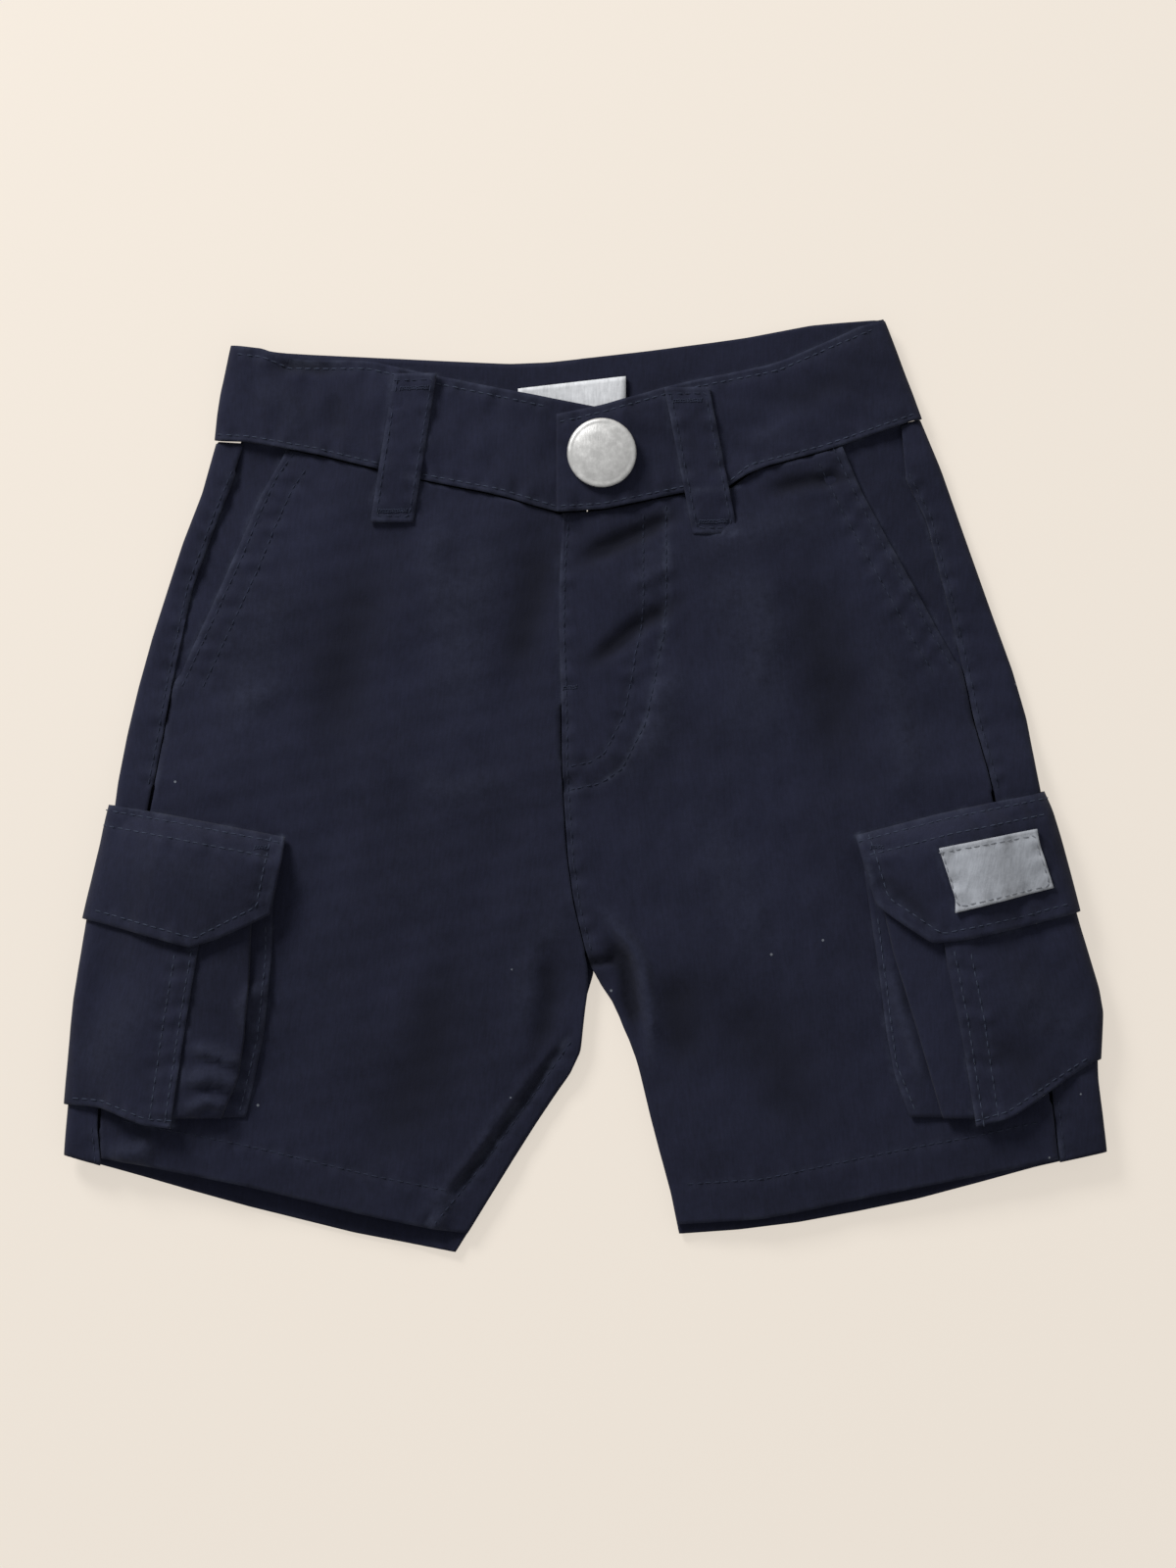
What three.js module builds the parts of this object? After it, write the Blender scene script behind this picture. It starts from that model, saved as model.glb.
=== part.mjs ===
// Baby cargo shorts, laid flat on their back, front side up. Millimetres, +Z up.
// X runs from the wearer's right (negative) to the left, and Y from the hems to the waist.
// Every cloth piece is a wall that lies on one shared surface, the flattened body of the
// shorts, moved out by whole cloth layers.
import * as THREE from 'three';

// ---- driving dimensions ----
const CLOTH = 1.0;            // thickness of the twill wall
const BAND = 2.0;             // thickness of the folded waistband
const GAP = 0.3;              // clearance between neighbouring pieces
const SEAM_GAP = 0.9;         // clearance at the sloping waistband seam
const LOFT = 1.8;             // height of the flap and patch above what they cover
const LAYER = CLOTH + GAP;    // one layer of cloth on another
const FOLD_RADIUS = 1.6;      // mid-surface radius of the side folds
const CROWN = 1.5;            // how far the front stands above its side folds
const CROWN_REACH = 45;       // distance from a fold over which the front rises
const LEG_REACH = 22;         // the same from an inner leg edge
const CROTCH_Y = -56;
const POCKET_LIFT = 2 * LAYER;      // the body lies on the flap and pocket at the back
const POCKET_TOP = 20;              // where that lift starts, down the side
const POCKET_BOTTOM = -125;         // where it has ended
const WRAP_BACK = 28;               // how far pocket and flap reach round the back
const PLEAT = 6;                    // depth of the bellows pleat in a gusset
const BUTTON_RADIUS = 9.85;
const BUTTON_HEIGHT = 2.6;
const BUTTON_CENTRE = { x: 4.3, y: 94.6 };

// ---- outlines: a row for each place, top to bottom ----
// crest: outermost line of the side fold. edge: outer edge of the front panel, which is
// the pocket opening above and the side seam below. seam: side seam. inner: centre
// front, then the inner leg.
const SIDES = {
  right: {
    inward: 1,
    crest: [
      { y: 128, x: -100 }, { y: 110, x: -104 }, { y: 97, x: -105.4 }, { y: 91, x: -104 },
      { y: 80, x: -111.7 }, { y: 65, x: -116 }, { y: 47, x: -122.2 }, { y: 21, x: -129.4 },
      { y: 1, x: -133 }, { y: -14, x: -135 }, { y: -37, x: -140.6 }, { y: -63, x: -144.8 },
      { y: -88, x: -147 }, { y: -105, x: -148.5 }, { y: -112, x: -148.8 },
    ],
    edge: [
      { y: 99, x: -83 }, { y: 89, x: -90 }, { y: 77, x: -95.6 }, { y: 65, x: -100.4 },
      { y: 48, x: -108.2 }, { y: 29, x: -117.2 }, { y: 17, x: -119.5 }, { y: -3, x: -123.2 },
      { y: -50, x: -132 }, { y: -92, x: -138.5 }, { y: -112, x: -137 },
    ],
    seam: [
      { y: 99, x: -97 }, { y: 89, x: -99.5 }, { y: 77, x: -104.6 }, { y: 57, x: -112 },
      { y: 29, x: -118 }, { y: 17, x: -120 }, { y: -3, x: -123.8 }, { y: -50, x: -132.6 },
      { y: -92, x: -139.1 }, { y: -112, x: -137.6 },
    ],
    inner: [
      { y: 85, x: 3.5 }, { y: 31, x: 3 }, { y: 25, x: -7.6 }, { y: 4, x: -7.4 },
      { y: -21, x: -5.7 }, { y: -34, x: -3.9 }, { y: -48, x: -0.4 }, { y: -55, x: 1.6 },
      { y: -57.5, x: 0.4 }, { y: -68, x: -0.8 }, { y: -76, x: -1.6 }, { y: -81, x: -4 },
      { y: -93, x: -12.3 },
      { y: -113, x: -25 }, { y: -123, x: -31 }, { y: -133, x: -37.3 },
    ],
  },
  left: {
    inward: -1,
    crest: [
      { y: 133, x: 84 }, { y: 124, x: 87.5 }, { y: 110, x: 92.8 }, { y: 105, x: 94.5 },
      { y: 95, x: 99 }, { y: 78, x: 105 }, { y: 53, x: 113.8 }, { y: 29, x: 122.5 },
      { y: 12, x: 127 }, { y: -1, x: 128 }, { y: -16, x: 132.5 }, { y: -37, x: 138 },
      { y: -62, x: 145.5 }, { y: -80, x: 144.8 }, { y: -97, x: 147 }, { y: -110, x: 148.5 },
    ],
    edge: [
      { y: 104, x: 70 }, { y: 91, x: 75 }, { y: 83, x: 78.8 }, { y: 65, x: 88.7 },
      { y: 45, x: 99.7 }, { y: 34, x: 106.4 }, { y: 19, x: 109.6 }, { y: 5, x: 113.4 },
      { y: -4, x: 115.6 }, { y: -50, x: 124 }, { y: -87, x: 131.5 }, { y: -110, x: 134 },
    ],
    seam: [
      { y: 104, x: 89.2 }, { y: 88, x: 90.5 }, { y: 76, x: 96.6 }, { y: 50, x: 103.2 },
      { y: 34, x: 107 }, { y: 19, x: 110.2 }, { y: 5, x: 114 }, { y: -4, x: 116.2 },
      { y: -50, x: 124.6 }, { y: -87, x: 132.1 }, { y: -110, x: 134.6 },
    ],
    inner: [
      { y: 85, x: -6.6 }, { y: 63, x: -7.6 }, { y: 45, x: -8 }, { y: 25, x: -7.2 },
      { y: 4, x: -7 }, { y: -21, x: -5.3 }, { y: -34, x: -3.5 }, { y: -48, x: 0 },
      { y: -55, x: 2 }, { y: -57.5, x: 5 }, { y: -62, x: 7.8 }, { y: -70, x: 10.8 }, { y: -76, x: 13.7 },
      { y: -99, x: 19.2 }, { y: -115, x: 23.7 }, { y: -128, x: 26.3 },
    ],
  },
};

// Lines that run across, a row for each place from the wearer's right to the left.
const BAND_SEAM = [
  { x: -107, y: 98.6 }, { x: -96, y: 98 }, { x: -78, y: 94.8 }, { x: -47, y: 87.2 },
  { x: -25, y: 83 }, { x: -9, y: 78 }, { x: 5, y: 78.8 }, { x: 27, y: 83.6 },
  { x: 41, y: 85 }, { x: 47, y: 90 }, { x: 68, y: 95.5 }, { x: 97, y: 105.6 },
];
const CENTRE_BACK = [{ y: 90, x: 0 }, { y: CROTCH_Y, x: 2.2 }];
const BACK_BAND_SEAM = [{ x: -107, y: 98.6 }, { x: 0, y: 96 }, { x: 97, y: 105.6 }];
const BAND_TOP_RIGHT = [
  { x: -105, y: 126 }, { x: -92, y: 124.6 }, { x: -84, y: 121.4 }, { x: -62, y: 121.2 },
  { x: -53, y: 119 }, { x: -25, y: 113.3 }, { x: 8, y: 107 },
];
const BAND_TOP_LEFT = [
  { x: -10, y: 105.4 }, { x: 4.5, y: 108.3 }, { x: 25, y: 114.4 }, { x: 44, y: 118.2 },
  { x: 54, y: 120.3 }, { x: 71, y: 127.7 }, { x: 80, y: 132 }, { x: 90, y: 133 },
];
const BAND_TOP_BACK = [
  { x: -105, y: 125.8 }, { x: -86, y: 123.5 }, { x: -41, y: 121.4 }, { x: -17, y: 120.3 },
  { x: 20, y: 124.5 }, { x: 44, y: 127.7 }, { x: 64, y: 131.5 }, { x: 80, y: 132.9 },
  { x: 90, y: 133 },
];
const HEM_FRONT = [
  { x: -150, y: -103.5 }, { x: -127, y: -107.6 }, { x: -99, y: -113.3 },
  { x: -66, y: -121.4 }, { x: -43, y: -126.3 }, { x: -30, y: -128 }, { x: 24, y: -125 },
  { x: 52, y: -123 }, { x: 84, y: -116.2 }, { x: 114, y: -110.2 }, { x: 150, y: -102.5 },
];
const HEM_BACK = [
  { x: -150, y: -104.5 }, { x: -127, y: -111 }, { x: -99, y: -119.3 },
  { x: -66, y: -127.5 }, { x: -37, y: -133 }, { x: 26, y: -127.7 }, { x: 52, y: -126 },
  { x: 90, y: -119 }, { x: 129, y: -108.2 }, { x: 150, y: -103.5 },
];

// The cargo pockets. flap corners in order: outer top, front top, front low, point, outer
// low. panel: the panel's front free edge. pleat and sewn: the gusset's fold and its seam.
const POCKETS = {
  right: {
    flapTop: [{ x: -140, y: -4.4 }, { x: -117, y: -8.5 }, { x: -85.8, y: -14.5 }],
    flapLow: [{ x: -150, y: -36.5 }, { x: -143, y: -37.4 }, { x: -110.5, y: -46 },
      { x: -90.4, y: -36 }],
    panel: [{ y: -20, x: -106 }, { y: -46, x: -109.6 }, { y: -69, x: -113.5 },
      { y: -97, x: -117.5 }],
    pleat: [{ y: -24, x: -96 }, { y: -61, x: -97.5 }, { y: -81, x: -99.5 }, { y: -94, x: -105 }],
    sewn: [{ y: -24, x: -89 }, { y: -49, x: -89.6 }, { y: -72, x: -92 }, { y: -94, x: -97 }],
    panelLow: [{ x: -155, y: -90 }, { x: -138, y: -91 }, { x: -125, y: -96 }, { x: -116, y: -97 }],
    gussetLow: -94,
  },
  left: {
    flapTop: [{ x: 76.5, y: -14 }, { x: 101.4, y: -7.6 }, { x: 135, y: -0.6 }],
    flapLow: [{ x: 82.6, y: -33.5 }, { x: 99.8, y: -45 }, { x: 124, y: -39.8 },
      { x: 150, y: -33 }],
    panel: [{ y: -20, x: 98 }, { y: -48, x: 102 }, { y: -67, x: 106 }, { y: -97, x: 110.5 }],
    pleat: [{ y: -24, x: 84.5 }, { y: -41, x: 86.5 }, { y: -65, x: 94 }, { y: -94, x: 102.5 }],
    sewn: [{ y: -24, x: 79 }, { y: -52, x: 83 }, { y: -79, x: 86.4 }, { y: -94, x: 92 }],
    panelLow: [{ x: 108, y: -96.8 }, { x: 120, y: -93.8 }, { x: 131, y: -86.7 },
      { x: 150, y: -74 }],
    gussetLow: -94,
  },
};

const LOOPS = {
  right: { top: { x: -48.6, y: 117.4 }, low: { x: -55.4, y: 75 }, wide: 12.2 },
  left: { top: { x: 28.4, y: 113.4 }, low: { x: 36.6, y: 71.8 }, wide: 12.8 },
};

// ---- small helpers ----
// An eased step from 0 to 1 as a value goes from one end to the other, either way round.
function smooth(from, to, value) {
  const part = THREE.MathUtils.clamp((value - from) / (to - from), 0, 1);
  return part * part * (3 - 2 * part);
}
const mix = THREE.MathUtils.lerp;

// Reads one column of a table at a place along the other, in straight steps.
function along(table, known, value, wanted) {
  const rows = [...table].sort((a, b) => a[known] - b[known]);
  if (value <= rows[0][known]) {
    return rows[0][wanted];
  }
  for (let i = 1; i < rows.length; i += 1) {
    if (value <= rows[i][known]) {
      const part = (value - rows[i - 1][known]) / (rows[i][known] - rows[i - 1][known]);
      return mix(rows[i - 1][wanted], rows[i][wanted], part);
    }
  }
  return rows[rows.length - 1][wanted];
}
const xAt = (table, y) => along(table, 'y', y, 'x');
const yAt = (table, x) => along(table, 'x', x, 'y');

function spread(from, to, steps) {
  return Array.from({ length: steps + 1 }, (_, i) => mix(from, to, i / steps));
}

// The rows down a body panel, as parts of its length: close together round the crotch.
const ROWS_DOWN = [...spread(0, 0.6, 9), ...spread(0.63, 0.81, 6), ...spread(0.85, 1, 3)];

// ---- the shared surface ----
const ARC = (FOLD_RADIUS * Math.PI) / 2;

// Distance round the section from the side fold's crest: positive on the front.
function roundFrom(side, x, y) {
  const { inward, crest } = SIDES[side];
  return inward * (x - xAt(crest, y)) - FOLD_RADIUS + ARC;
}

function pocketLift(around, y) {
  const down = smooth(POCKET_TOP, 4, y) * (1 - smooth(-99, POCKET_BOTTOM, y));
  return POCKET_LIFT * down * (1 - smooth(WRAP_BACK + 6, WRAP_BACK + 32, Math.abs(around)));
}

// The front is highest in the middle and settles to the folds and inner leg edges.
function crown(side, around, x, y) {
  const outer = smooth(0, CROWN_REACH, around);
  const toCrotch = Math.hypot(x - 2.2, Math.max(0, y - CROTCH_Y));
  const toLeg = Math.abs(x - xAt(SIDES[side].inner, y));
  const inner = smooth(0, LEG_REACH, y > CROTCH_Y ? toCrotch : toLeg);
  return CROWN * outer * (y > CROTCH_Y + LEG_REACH ? 1 : inner);
}

function surface(side, around, y, raise = 0) {
  const { inward, crest } = SIDES[side];
  const middle = CLOTH / 2 + FOLD_RADIUS + raise + pocketLift(around, y);
  const edge = xAt(crest, y);
  if (Math.abs(around) <= ARC) {
    const turn = around / FOLD_RADIUS;
    const x = edge + inward * FOLD_RADIUS * (1 - Math.cos(turn));
    return new THREE.Vector3(x, y, middle + FOLD_RADIUS * Math.sin(turn));
  }
  const x = edge + inward * (FOLD_RADIUS + Math.abs(around) - ARC);
  if (around < 0) {
    return new THREE.Vector3(x, y, middle - FOLD_RADIUS);
  }
  return new THREE.Vector3(x, y, middle + FOLD_RADIUS + crown(side, around, x, y));
}

// A point of the surface moved out of the garment by a height.
function lay(side, around, y, height, raise = 0) {
  const step = 0.4;
  const here = surface(side, around, y, raise);
  const round = surface(side, around + step, y, raise);
  round.sub(surface(side, around - step, y, raise));
  const up = surface(side, around, y + step, raise);
  up.sub(surface(side, around, y - step, raise));
  const out = round.cross(up).multiplyScalar(SIDES[side].inward).normalize();
  return here.addScaledVector(out, height);
}

// ---- cloth walls ----
const group = new THREE.Group();
group.name = 'baby_cargo_shorts';

const CLOTHS = {
  navy_twill: { color: 0x23283a, roughness: 0.92, metalness: 0 },
  grey_patch: { color: 0x92959c, roughness: 0.85, metalness: 0 },
  white_label: { color: 0xcfd0d2, roughness: 0.8, metalness: 0 },
  silver_button: { color: 0xbdbdbb, roughness: 0.38, metalness: 0.85 },
};

function add(name, slot, points, faces) {
  const geometry = new THREE.BufferGeometry();
  geometry.setAttribute('position', new THREE.Float32BufferAttribute(points, 3));
  geometry.setIndex(faces);
  let volume = 0;
  const corner = (k) => new THREE.Vector3().fromArray(points, faces[k] * 3);
  for (let k = 0; k < faces.length; k += 3) {
    volume += corner(k).dot(corner(k + 1).cross(corner(k + 2)));
  }
  if (volume < 0) {
    geometry.setIndex(faces.slice().reverse());
  }
  geometry.computeVertexNormals();
  const material = new THREE.MeshStandardMaterial({ ...CLOTHS[slot] });
  material.name = slot;
  const mesh = new THREE.Mesh(geometry, material);
  mesh.name = name;
  group.add(mesh);
}

// A closed wall about a grid of middle points: rows of equal length.
function wall(name, slot, rows, thick = CLOTH) {
  const high = rows.length;
  const wide = rows[0].length;
  const points = [];
  const faces = [];
  for (const sign of [0.5, -0.5]) {
    for (let i = 0; i < high; i += 1) {
      for (let j = 0; j < wide; j += 1) {
        const down = rows[Math.min(i + 1, high - 1)][j].clone();
        down.sub(rows[Math.max(i - 1, 0)][j]);
        const across = rows[i][Math.min(j + 1, wide - 1)].clone();
        across.sub(rows[i][Math.max(j - 1, 0)]);
        const out = across.cross(down).normalize();
        points.push(...rows[i][j].clone().addScaledVector(out, sign * thick).toArray());
      }
    }
  }
  const under = high * wide;
  const quad = (a, b, c, d) => faces.push(a, b, c, a, c, d);
  for (let i = 0; i < high - 1; i += 1) {
    for (let j = 0; j < wide - 1; j += 1) {
      const a = i * wide + j;
      quad(a, a + 1, a + wide + 1, a + wide);
      quad(under + a, under + a + wide, under + a + wide + 1, under + a + 1);
    }
  }
  const rim = [];
  for (let j = 0; j < wide - 1; j += 1) rim.push(j);
  for (let i = 0; i < high - 1; i += 1) rim.push(i * wide + wide - 1);
  for (let j = wide - 1; j > 0; j -= 1) rim.push((high - 1) * wide + j);
  for (let i = high - 1; i > 0; i -= 1) rim.push(i * wide);
  rim.forEach((a, k) => {
    const b = rim[(k + 1) % rim.length];
    quad(a, under + a, under + b, b);
  });
  add(name, slot, points, faces);
}

// The middle points of a piece between two lines across and two lines down.
function fill(side, columns, top, low, steps, height, raise = 0) {
  const down = Array.isArray(steps) ? steps : spread(0, 1, steps);
  return down.map((part) => columns.map((place) => {
    let y = mix(top(0), low(0), part);
    let x = 0;
    for (let turn = 0; turn < 4; turn += 1) {
      x = place(y);
      y = mix(top(x), low(x), part);
    }
    return lay(side, roundFrom(side, x, y), y, height(x, y), raise);
  }));
}

// ---- fronts: the left laps over the right down the fly ----
const flyRise = (x, y) => LAYER * (1 - smooth(5, 14, x)) * smooth(-6, 12, y);
// The front and back lips close towards each other along the inner leg.
const lip = (side, x, y) => {
  const reach = y > CROTCH_Y ? Math.hypot(x - 2.2, y - CROTCH_Y)
    : Math.abs(x - xAt(SIDES[side].inner, y));
  return 0.9 * (1 - smooth(0, 6, reach));
};

for (const side of ['right', 'left']) {
  const { inward, edge, inner, seam, crest } = SIDES[side];
  const columns = spread(0, 1, 9).map((part) => (y) => {
    const outer = xAt(edge, y);
    const centre = xAt(inner, y) - (inward * GAP) / 2;
    return mix(outer, centre, part);
  });
  const height = (x, y) => (side === 'left' ? flyRise(x, y) : 0) - lip(side, x, y);
  const top = (x) => yAt(BAND_SEAM, x) - SEAM_GAP;
  const front = fill(side, columns, top, (x) => yAt(HEM_FRONT, x), ROWS_DOWN, height);
  wall(`front_${side}`, 'navy_twill', front);

  // The back runs from the side seam round the fold and across to the inner leg.
  const stations = [
    ...spread(0, 1, 2).map((part) => (open) => mix(open, ARC, part)),
    ...spread(ARC, -ARC, 5).slice(1).map((around) => () => around),
    ...spread(0, 1, 7).slice(1).map((part) => (open, far) => -mix(ARC, far, part)),
  ];
  const backRows = ROWS_DOWN.map((part) => stations.map((place) => {
    let y = mix(98, -108, part);
    let around = 0;
    for (let turn = 0; turn < 4; turn += 1) {
      const open = roundFrom(side, xAt(seam, y) - inward * GAP, y);
      const centre = y > CROTCH_Y ? xAt(CENTRE_BACK, y) : xAt(inner, y);
      around = place(open, roundFrom(side, centre - (inward * GAP) / 2, y));
      const { x } = surface(side, around, y);
      const seamTop = around > 0 ? yAt(BAND_SEAM, x) : yAt(BACK_BAND_SEAM, x);
      y = mix(seamTop - SEAM_GAP, yAt(HEM_BACK, x), part);
    }
    const { x } = surface(side, around, y);
    return lay(side, around, y, around < -ARC ? -lip(side, x, y) : 0);
  }));
  wall(`back_${side}`, 'navy_twill', backRows);

  // The facing lies one layer below the front, behind the slant opening.
  const facing = spread(0, 1, 5).map((part) => (y) => {
    const outer = xAt(seam, y) - inward * 1.2;
    const open = Math.max(0, inward * (xAt(edge, y) - xAt(seam, y)));
    return mix(outer, xAt(seam, y) + inward * (open + 9), part);
  });
  wall(`hip_facing_${side}`, 'navy_twill',
    fill(side, facing, (x) => yAt(BAND_SEAM, x) + 1.5, () => 24, 7, () => -LAYER));

  // ---- front waistband ----
  const right = side === 'right';
  const end = right ? 6.5 : -8.6;
  const bandColumns = spread(0, 1, 16).map((part) => (y) => {
    const outer = xAt(crest, y);
    return mix(outer + inward * FOLD_RADIUS, end, part);
  });
  const lapRise = (x) => (right ? 0 : (BAND + GAP) * (1 - smooth(10, 20, x)));
  const topLine = right ? BAND_TOP_RIGHT : BAND_TOP_LEFT;
  const band = fill(side, bandColumns, (x) => yAt(topLine, x), (x) => yAt(BAND_SEAM, x), 4,
    lapRise, 0.5);
  const round = band.map((row) => {
    const y = row[0].y;
    const turn = spread(0.5, ARC * 0.75, 3).map((around) => lay(side, around, y, 0, 0.5));
    return [...turn, ...row];
  });
  wall(`waistband_front_${side}`, 'navy_twill', round, BAND);

  // ---- belt loops ----
  const loop = LOOPS[side];
  const loopColumns = spread(-0.5, 0.5, 2).map((part) => (y) => {
    const down = (loop.top.y - y) / (loop.top.y - loop.low.y);
    return mix(loop.top.x, loop.low.x, down) + part * loop.wide;
  });
  const loopHeight = (x, y) => {
    const seamY = yAt(BAND_SEAM, x);
    return mix(LAYER, BAND + GAP, smooth(seamY - 7, seamY - 1.5, y)) + lapRise(x);
  };
  wall(`belt_loop_${side}`, 'navy_twill',
    fill(side, loopColumns, () => loop.top.y, () => loop.low.y, 10, loopHeight));
}

// ---- back waistband: one piece from side fold to side fold ----
{
  const turned = [-0.5, -ARC * 0.5, -ARC * 0.75, -ARC];
  const rows = spread(0, 1, 4).map((part) => {
    const at = (x) => mix(yAt(BAND_TOP_BACK, x), yAt(BACK_BAND_SEAM, x), part);
    const half = (side) => {
      const { crest } = SIDES[side];
      const fold = turned.map((around) => {
        const y = at(xAt(crest, 110));
        return lay(side, around, y, 0, 0.5);
      });
      const start = fold[fold.length - 1].x;
      const flat = spread(start, 0, 9).slice(1).map((x) => {
        const y = at(x);
        return lay(side, -roundFrom(side, x, y), y, 0, 0.5);
      });
      return [...fold, ...flat];
    };
    return [...half('right'), ...half('left').reverse().slice(1)];
  });
  wall('waistband_back', 'navy_twill', rows, BAND);
}

// ---- cargo pockets ----
for (const side of ['right', 'left']) {
  const { inward, crest } = SIDES[side];
  const pocket = POCKETS[side];
  // Height of the panel above the body: high at its front edge, flat round the side.
  const stand = (x, y) => {
    const inFromEdge = -inward * (x - xAt(pocket.panel, y));
    return mix(4 * LAYER, LAYER, smooth(12, 28, inFromEdge));
  };
  const arounds = (from) => [
    ...spread(0, 1, 7).map((part) => (y) => mix(roundFrom(side, from(y), y), ARC, part)),
    ...spread(ARC, -ARC, 6).slice(1).map((around) => () => around),
    ...spread(-ARC, -WRAP_BACK, 3).slice(1).map((around) => () => around),
  ];
  const cover = (from, top, low, steps, height) => spread(0, 1, steps).map((part) => (
    arounds(from).map((place) => {
      let y = -40;
      let around = 0;
      for (let turn = 0; turn < 5; turn += 1) {
        around = place(y);
        const x = surface(side, around, y).x;
        y = mix(top(x), low(x), part);
      }
      const x = surface(side, around, y).x;
      return lay(side, around, y, around > ARC ? height(x, y) : height(null, y));
    })));

  const panelTop = (x) => yAt(pocket.flapTop, x) - 12;
  const panelLow = (x) => yAt(pocket.panelLow, x);
  const panelHeight = (x, y) => (x === null ? LAYER : stand(x, y));
  wall(`cargo_pocket_${side}`, 'navy_twill',
    cover((y) => xAt(pocket.panel, y), panelTop, panelLow, 10, panelHeight));

  // The gusset: sewn edge, pleat folded back and forth, then under the panel's edge.
  const turnRadius = LAYER / 2;
  const gusset = spread(-24, pocket.gussetLow, 6).map((y) => {
    const sewn = xAt(pocket.sewn, y);
    const pleat = xAt(pocket.pleat, y);
    const under = xAt(pocket.panel, y) - inward * 4;
    const deep = pleat - inward * PLEAT;
    const path = [[sewn, LAYER], [mix(sewn, deep, 0.5), LAYER], [deep, LAYER]];
    for (const turn of [45, 90, 135]) {
      const angle = THREE.MathUtils.degToRad(turn);
      path.push([deep - inward * turnRadius * Math.sin(angle),
        LAYER + turnRadius * (1 - Math.cos(angle))]);
    }
    path.push([deep, 2 * LAYER], [pleat, 2 * LAYER]);
    for (const turn of [45, 90, 135]) {
      const angle = THREE.MathUtils.degToRad(turn);
      path.push([pleat + inward * turnRadius * Math.sin(angle),
        2 * LAYER + turnRadius * (1 - Math.cos(angle))]);
    }
    path.push([pleat, 3 * LAYER], [mix(pleat, under, 0.5), 3 * LAYER], [under, 3 * LAYER]);
    return path.map(([x, height]) => lay(side, roundFrom(side, x, y), y, height));
  });
  wall(`cargo_gusset_${side}`, 'navy_twill', gusset);

  // The flap starts on the body and rises over the pocket.
  const frontEdge = (y) => {
    const a = pocket.flapTop[inward > 0 ? 2 : 0];
    const b = pocket.flapLow[inward > 0 ? 3 : 0];
    return mix(a.x, b.x, THREE.MathUtils.clamp((a.y - y) / (a.y - b.y), 0, 1));
  };
  const flapHeight = (x, y) => {
    const here = x === null ? xAt(crest, y) : x;
    const belowTop = yAt(pocket.flapTop, here) - y;
    const rise = smooth(0.5, 7, belowTop);
    if (x === null) {
      return mix(1.4 * LAYER, 2 * LAYER, rise);
    }
    const dip = LAYER * (1 - smooth(0, 4, -inward * (x - frontEdge(y))));
    const full = stand(x, y) + LOFT - dip;
    return mix(1.4 * LAYER, full, rise);
  };
  wall(`cargo_flap_${side}`, 'navy_twill',
    cover(frontEdge, (x) => yAt(pocket.flapTop, x), (x) => yAt(pocket.flapLow, x), 6,
      flapHeight));

  if (side === 'left') {
    const patchHeight = (x, y) => flapHeight(x, y) + LOFT;
    const patchColumns = spread(0, 1, 8).map((part) => (y) => (
      mix(98, 127.5, part) + 5.8 * THREE.MathUtils.clamp((-14 - y) / 18, 0, 1)));
    wall('flap_patch', 'grey_patch', fill('left', patchColumns,
      (x) => mix(-17.7, -12, (x - 98) / 29.5), (x) => mix(-36, -28.6, (x - 103) / 30), 5,
      patchHeight));
  }
}

// ---- neck label, on the inner face of the back waistband ----
{
  const rows = spread(0, 1, 3).map((part) => spread(-19.6, 11.2, 5).map((x) => {
    const y = mix(mix(113.4, 117, (x + 19.6) / 30.8), 100, part);
    return new THREE.Vector3(x, y, BAND + GAP + CLOTH / 2);
  }));
  wall('neck_label', 'white_label', rows);
}

// ---- button: a low dome with a rolled rim, turned about its axis ----
{
  const base = lay('left', roundFrom('left', BUTTON_CENTRE.x, BUTTON_CENTRE.y),
    BUTTON_CENTRE.y, BAND + GAP, 0.5).z + BAND / 2 + GAP;
  const profile = [
    { radius: BUTTON_RADIUS - 1.2, height: 0 }, { radius: BUTTON_RADIUS, height: 0.5 },
    { radius: BUTTON_RADIUS, height: 1.1 }, { radius: BUTTON_RADIUS - 0.6, height: 1.7 },
    { radius: BUTTON_RADIUS * 0.7, height: 2.3 }, { radius: BUTTON_RADIUS * 0.35, height: 2.5 },
  ];
  const around = 30;
  const points = [];
  const faces = [];
  for (const { radius, height } of profile) {
    for (let k = 0; k < around; k += 1) {
      const angle = (2 * Math.PI * k) / around;
      points.push(BUTTON_CENTRE.x + radius * Math.cos(angle),
        BUTTON_CENTRE.y + radius * Math.sin(angle), base + height);
    }
  }
  const bottom = points.length / 3;
  points.push(BUTTON_CENTRE.x, BUTTON_CENTRE.y, base);
  points.push(BUTTON_CENTRE.x, BUTTON_CENTRE.y, base + BUTTON_HEIGHT);
  for (let ring = 0; ring < profile.length - 1; ring += 1) {
    for (let k = 0; k < around; k += 1) {
      const a = ring * around + k;
      const b = ring * around + ((k + 1) % around);
      faces.push(a, b, b + around, a, b + around, a + around);
    }
  }
  const last = (profile.length - 1) * around;
  for (let k = 0; k < around; k += 1) {
    const next = (k + 1) % around;
    faces.push(next, k, bottom);
    faces.push(last + k, last + next, bottom + 1);
  }
  add('button', 'silver_button', points, faces);
}

// The origin is the middle of the footprint.
const middle = new THREE.Box3().setFromObject(group).getCenter(new THREE.Vector3());
for (const mesh of group.children) {
  mesh.position.set(-middle.x, -middle.y, 0);
}

export default group;
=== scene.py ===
"""Baby cargo shorts, laid flat: cloth, stitching, patch, label and button."""
import math

import bmesh
import bpy
import numpy as np
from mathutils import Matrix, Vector
from mathutils.bvhtree import BVHTree


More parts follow.
